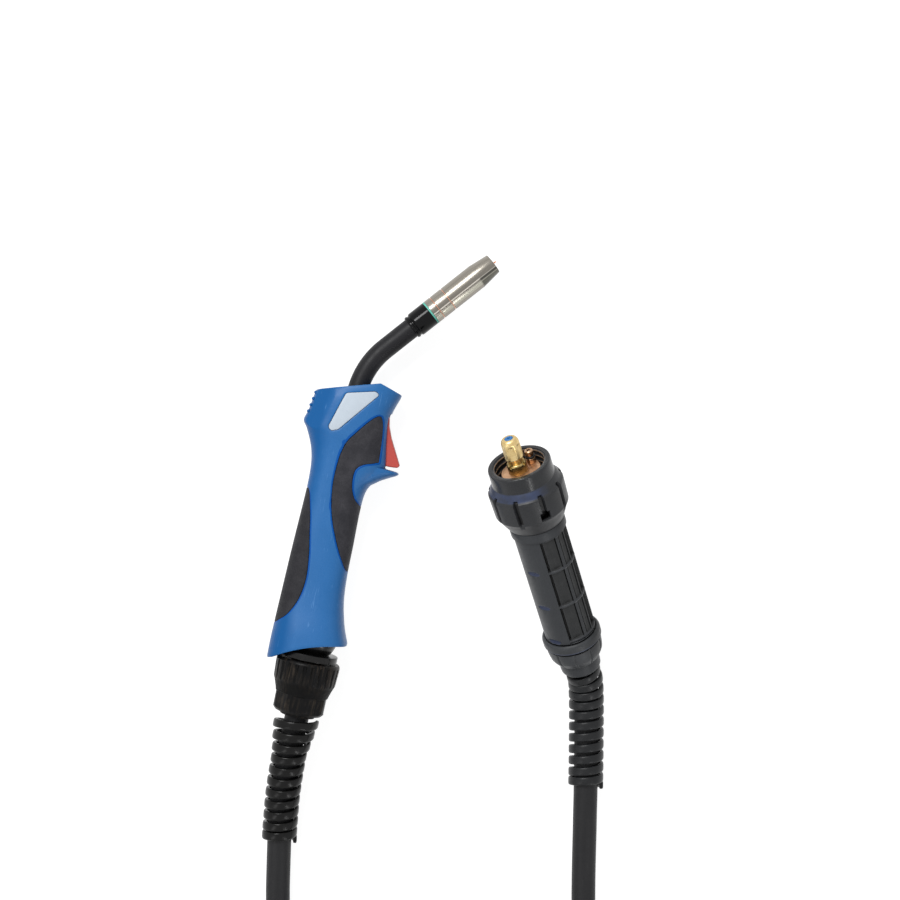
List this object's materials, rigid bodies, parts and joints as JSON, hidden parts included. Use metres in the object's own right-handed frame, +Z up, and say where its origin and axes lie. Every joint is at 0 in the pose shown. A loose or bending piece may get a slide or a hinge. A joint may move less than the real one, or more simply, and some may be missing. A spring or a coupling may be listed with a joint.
{
  "type": "mig welding torch",
  "caption": "Gas-cooled MIG welding torch with a bent neck, soft-gripped handle, swivelling cable and a central connector with a coupling nut.",
  "frame": {"origin": "middle of the torch's own box, on the table it lies on", "axes": "+Z up from the table; +Y from the cable end towards the torch's head; +X towards the trigger side and the connector"},
  "size_m": [0.2411, 0.7024, 0.126],
  "materials": {
    "blue_plastic": "satin moulded plastic, blue",
    "grip_rubber": "matt textured rubber, near black",
    "pale_plastic": "blank pale grey plate",
    "dark_steel": "black oxide steel",
    "black_plastic": "black plastic",
    "bright_steel": "bright steel",
    "red_plastic": "satin red plastic",
    "lead_jacket": "soft lead jacket",
    "copper": "copper",
    "copper_block": "turned bronze, dull",
    "brass": "turned brass",
    "teal_plastic": "teal insulating ring",
    "nickel": "nickel plated and worn",
    "swivel_plastic": "black plastic",
    "cable_jacket": "black cable jacket",
    "spring_wrap": "black coated flat spring",
    "plug_plastic": "black plastic, lightly textured",
    "blue_liner": "blue plastic liner",
    "o_ring": "black rubber ring"
  },
  "bodies": {
    "cable_set": {"swivel_cup": "swivel_plastic", "cable_end": "cable_jacket", "torch_spring": "spring_wrap", "torch_cable": "cable_jacket", "cable_coil": "cable_jacket", "plug_cable": "cable_jacket", "plug_spring": "spring_wrap", "plug_gland": "swivel_plastic", "plug_cap": "plug_plastic", "plug_cable_end": "cable_jacket", "plug_shell_left": "plug_plastic", "plug_shell_right": "plug_plastic", "plug_screws": "dark_steel", "plug_block": "copper_block", "main_pin": "brass", "liner_nut": "brass", "plug_liner": "blue_liner", "gas_nipple": "copper_block", "gas_ring": "o_ring", "signal_bushes": "black_plastic"},
    "ball": {"ball_stud": "swivel_plastic"},
    "torch": {"handle_left": "blue_plastic", "handle_right": "blue_plastic", "front_grip_left": "grip_rubber", "front_grip_right": "grip_rubber", "rear_grip_left": "grip_rubber", "rear_grip_right": "grip_rubber", "side_plate_left": "pale_plastic", "side_plate_right": "pale_plastic", "handle_screws": "dark_steel", "trigger_frame": "black_plastic", "trigger_pin": "bright_steel", "microswitch": "black_plastic", "switch_leads": "lead_jacket", "power_lead": "copper", "torch_block": "brass", "neck_sleeve": "black_plastic", "neck_tube": "copper", "neck_liner": "bright_steel", "insulator": "black_plastic", "seal_ring": "teal_plastic", "nozzle_spring": "bright_steel", "tip_holder": "brass", "contact_tip": "copper", "gas_nozzle": "nickel", "welding_wire": "copper"},
    "trigger": {"trigger": "red_plastic"},
    "switch_button": {"switch_button": "red_plastic"},
    "coupling_nut": {"coupling_nut": "plug_plastic"},
    "signal_pin_a": {"signal_pin_a": "brass"},
    "signal_pin_b": {"signal_pin_b": "brass"}
  },
  "joints": [
    {"name": "cable_swivel", "type": "hinge", "parent": "cable_set", "child": "ball", "pos_m": [-0.04766, -0.10542, 0.0225], "axis": [0.2079, 0.9781, 0], "continuous": true},
    {"name": "handle_tilt", "type": "hinge", "parent": "ball", "child": "torch", "pos_m": [-0.04766, -0.10542, 0.0225], "axis": [0, 0, -1], "range_deg": [-4, 14]},
    {"name": "trigger_pull", "type": "hinge", "parent": "torch", "child": "trigger", "pos_m": [-0.002, 0.04538, 0.0225], "axis": [0, 0, -1], "range_deg": [0, 6], "stiffness_Nm_per_rad": 1.5, "springref_deg": -4.58},
    {"name": "switch_press", "type": "slide", "parent": "torch", "child": "switch_button", "axis": [-0.9781, 0.2079, 0], "range_m": [0, 0.00137]},
    {"name": "nut_turn", "type": "hinge", "parent": "cable_set", "child": "coupling_nut", "pos_m": [0.10085, -0.00875, 0.09287], "axis": [-0.2746, 0.8304, 0.4848], "continuous": true},
    {"name": "signal_press_a", "type": "slide", "parent": "cable_set", "child": "signal_pin_a", "axis": [0.2746, -0.8304, -0.4848], "range_m": [0, 0.0025], "stiffness_N_per_m": 300, "springref_m": -0.002},
    {"name": "signal_press_b", "type": "slide", "parent": "cable_set", "child": "signal_pin_b", "axis": [0.2746, -0.8304, -0.4848], "range_m": [0, 0.0025], "stiffness_N_per_m": 300, "springref_m": -0.002}
  ],
  "couplings": [
    {"joint": "switch_press", "follows": "trigger_pull", "m_per_rad": 0.012976}
  ]
}
